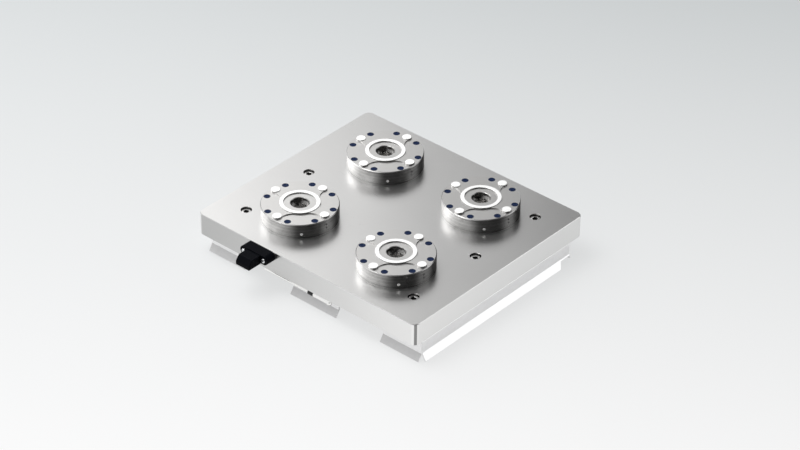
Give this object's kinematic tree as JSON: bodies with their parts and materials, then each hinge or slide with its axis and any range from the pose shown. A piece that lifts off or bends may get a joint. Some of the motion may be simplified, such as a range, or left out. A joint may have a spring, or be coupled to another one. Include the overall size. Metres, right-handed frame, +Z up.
{
  "type": "zero point clamping plate",
  "caption": "Steel zero point clamping plate with round clamping units in a square pattern, air-released slides, sheet skirts, feet and a connector.",
  "frame": {"origin": "centre of the mounting plane under the feet, midway between the four clamping units", "axes": "+X along the long side, towards the right end seen from the connector side; +Y away from the connector side; +Z up"},
  "size_m": [0.4595, 0.4443, 0.0992],
  "materials": {
    "plate_steel": "nickel-plated steel plate, finely brushed, satin",
    "unit_steel": "turned and satin ground hardened steel, bright ground seats",
    "hard_steel": "ground hardened steel",
    "spring_steel": "oiled spring steel",
    "sheet_steel": "bent stainless sheet, fine brushed",
    "screw_steel": "zinc-plated socket head screws",
    "black_steel": "black oxide steel",
    "zinc_steel": "bright zinc plate",
    "nickel_plate": "nickel-plated brass, bright",
    "cap_plastic": "dark blue moulded plastic",
    "connector_plastic": "black moulded plastic",
    "collar_plastic": "black moulded plastic",
    "seal_rubber": "black nitrile rubber"
  },
  "bodies": {
    "plate": {"base_plate": "plate_steel", "support_feet": "black_steel", "plate_screws": "screw_steel", "front_skirt_left": "sheet_steel", "front_skirt_middle": "sheet_steel", "front_skirt_right": "sheet_steel", "right_skirt": "sheet_steel", "rear_skirt": "sheet_steel", "left_skirt": "sheet_steel", "skirt_screws": "zinc_steel", "gallery_plugs": "zinc_steel", "connector_gasket": "seal_rubber", "connector_housing": "connector_plastic", "connector_insert": "connector_plastic", "connector_hood": "connector_plastic", "connector_screws": "zinc_steel", "air_tube": "nickel_plate", "air_elbow": "nickel_plate", "unit_screws": "black_steel", "screw_caps": "cap_plastic", "side_plugs": "zinc_steel", "spigot_seals": "seal_rubber", "bottom_covers": "unit_steel", "clamp_cover_front_left": "unit_steel", "clamp_cylinder_front_left": "unit_steel", "guide_deck_front_left": "hard_steel", "disc_springs_front_left": "spring_steel", "clamp_cover_front_right": "unit_steel", "clamp_cylinder_front_right": "unit_steel", "guide_deck_front_right": "hard_steel", "disc_springs_front_right": "spring_steel", "clamp_cover_rear_right": "unit_steel", "clamp_cylinder_rear_right": "unit_steel", "guide_deck_rear_right": "hard_steel", "disc_springs_rear_right": "spring_steel", "clamp_cover_rear_left": "unit_steel", "clamp_cylinder_rear_left": "unit_steel", "guide_deck_rear_left": "hard_steel", "disc_springs_rear_left": "spring_steel"},
    "piston_front_left": {"piston_front_left": "hard_steel", "piston_seals_front_left": "seal_rubber"},
    "clamp_slide_1_front_left": {"clamp_slide_1_front_left": "hard_steel"},
    "clamp_slide_2_front_left": {"clamp_slide_2_front_left": "hard_steel"},
    "clamp_slide_3_front_left": {"clamp_slide_3_front_left": "hard_steel"},
    "piston_front_right": {"piston_front_right": "hard_steel", "piston_seals_front_right": "seal_rubber"},
    "clamp_slide_1_front_right": {"clamp_slide_1_front_right": "hard_steel"},
    "clamp_slide_2_front_right": {"clamp_slide_2_front_right": "hard_steel"},
    "clamp_slide_3_front_right": {"clamp_slide_3_front_right": "hard_steel"},
    "piston_rear_right": {"piston_rear_right": "hard_steel", "piston_seals_rear_right": "seal_rubber"},
    "clamp_slide_1_rear_right": {"clamp_slide_1_rear_right": "hard_steel"},
    "clamp_slide_2_rear_right": {"clamp_slide_2_rear_right": "hard_steel"},
    "clamp_slide_3_rear_right": {"clamp_slide_3_rear_right": "hard_steel"},
    "piston_rear_left": {"piston_rear_left": "hard_steel", "piston_seals_rear_left": "seal_rubber"},
    "clamp_slide_1_rear_left": {"clamp_slide_1_rear_left": "hard_steel"},
    "clamp_slide_2_rear_left": {"clamp_slide_2_rear_left": "hard_steel"},
    "clamp_slide_3_rear_left": {"clamp_slide_3_rear_left": "hard_steel"},
    "release_collar": {"release_collar": "collar_plastic"}
  },
  "joints": [
    {"name": "piston_front_left_travel", "type": "slide", "parent": "plate", "child": "piston_front_left", "axis": [0, 0, -1], "range_m": [0, 0.006], "stiffness_N_per_m": 20000, "springref_m": -0.002, "deforming": ["disc_springs_front_left"]},
    {"name": "slide_1_front_left_travel", "type": "slide", "parent": "plate", "child": "clamp_slide_1_front_left", "axis": [0, 1, 0], "range_m": [0, 0.0036]},
    {"name": "slide_2_front_left_travel", "type": "slide", "parent": "plate", "child": "clamp_slide_2_front_left", "axis": [-0.866, -0.5, 0], "range_m": [0, 0.0036]},
    {"name": "slide_3_front_left_travel", "type": "slide", "parent": "plate", "child": "clamp_slide_3_front_left", "axis": [0.866, -0.5, 0], "range_m": [0, 0.0036]},
    {"name": "piston_front_right_travel", "type": "slide", "parent": "plate", "child": "piston_front_right", "axis": [0, 0, -1], "range_m": [0, 0.006], "stiffness_N_per_m": 20000, "springref_m": -0.002, "deforming": ["disc_springs_front_right"]},
    {"name": "slide_1_front_right_travel", "type": "slide", "parent": "plate", "child": "clamp_slide_1_front_right", "axis": [0, 1, 0], "range_m": [0, 0.0036]},
    {"name": "slide_2_front_right_travel", "type": "slide", "parent": "plate", "child": "clamp_slide_2_front_right", "axis": [-0.866, -0.5, 0], "range_m": [0, 0.0036]},
    {"name": "slide_3_front_right_travel", "type": "slide", "parent": "plate", "child": "clamp_slide_3_front_right", "axis": [0.866, -0.5, 0], "range_m": [0, 0.0036]},
    {"name": "piston_rear_right_travel", "type": "slide", "parent": "plate", "child": "piston_rear_right", "axis": [0, 0, -1], "range_m": [0, 0.006], "stiffness_N_per_m": 20000, "springref_m": -0.002, "deforming": ["disc_springs_rear_right"]},
    {"name": "slide_1_rear_right_travel", "type": "slide", "parent": "plate", "child": "clamp_slide_1_rear_right", "axis": [0, 1, 0], "range_m": [0, 0.0036]},
    {"name": "slide_2_rear_right_travel", "type": "slide", "parent": "plate", "child": "clamp_slide_2_rear_right", "axis": [-0.866, -0.5, 0], "range_m": [0, 0.0036]},
    {"name": "slide_3_rear_right_travel", "type": "slide", "parent": "plate", "child": "clamp_slide_3_rear_right", "axis": [0.866, -0.5, 0], "range_m": [0, 0.0036]},
    {"name": "piston_rear_left_travel", "type": "slide", "parent": "plate", "child": "piston_rear_left", "axis": [0, 0, -1], "range_m": [0, 0.006], "stiffness_N_per_m": 20000, "springref_m": -0.002, "deforming": ["disc_springs_rear_left"]},
    {"name": "slide_1_rear_left_travel", "type": "slide", "parent": "plate", "child": "clamp_slide_1_rear_left", "axis": [0, 1, 0], "range_m": [0, 0.0036]},
    {"name": "slide_2_rear_left_travel", "type": "slide", "parent": "plate", "child": "clamp_slide_2_rear_left", "axis": [-0.866, -0.5, 0], "range_m": [0, 0.0036]},
    {"name": "slide_3_rear_left_travel", "type": "slide", "parent": "plate", "child": "clamp_slide_3_rear_left", "axis": [0.866, -0.5, 0], "range_m": [0, 0.0036]},
    {"name": "release_collar_press", "type": "slide", "parent": "plate", "child": "release_collar", "axis": [1, 0, 0], "range_m": [0, 0.001]}
  ],
  "couplings": [
    {"joint": "slide_1_front_left_travel", "follows": "piston_front_left_travel", "ratio": 0.6},
    {"joint": "slide_2_front_left_travel", "follows": "piston_front_left_travel", "ratio": 0.6},
    {"joint": "slide_3_front_left_travel", "follows": "piston_front_left_travel", "ratio": 0.6},
    {"joint": "piston_front_right_travel", "follows": "piston_front_left_travel", "ratio": 1},
    {"joint": "slide_1_front_right_travel", "follows": "piston_front_left_travel", "ratio": 0.6},
    {"joint": "slide_2_front_right_travel", "follows": "piston_front_left_travel", "ratio": 0.6},
    {"joint": "slide_3_front_right_travel", "follows": "piston_front_left_travel", "ratio": 0.6},
    {"joint": "piston_rear_right_travel", "follows": "piston_front_left_travel", "ratio": 1},
    {"joint": "slide_1_rear_right_travel", "follows": "piston_front_left_travel", "ratio": 0.6},
    {"joint": "slide_2_rear_right_travel", "follows": "piston_front_left_travel", "ratio": 0.6},
    {"joint": "slide_3_rear_right_travel", "follows": "piston_front_left_travel", "ratio": 0.6},
    {"joint": "piston_rear_left_travel", "follows": "piston_front_left_travel", "ratio": 1},
    {"joint": "slide_1_rear_left_travel", "follows": "piston_front_left_travel", "ratio": 0.6},
    {"joint": "slide_2_rear_left_travel", "follows": "piston_front_left_travel", "ratio": 0.6},
    {"joint": "slide_3_rear_left_travel", "follows": "piston_front_left_travel", "ratio": 0.6}
  ]
}
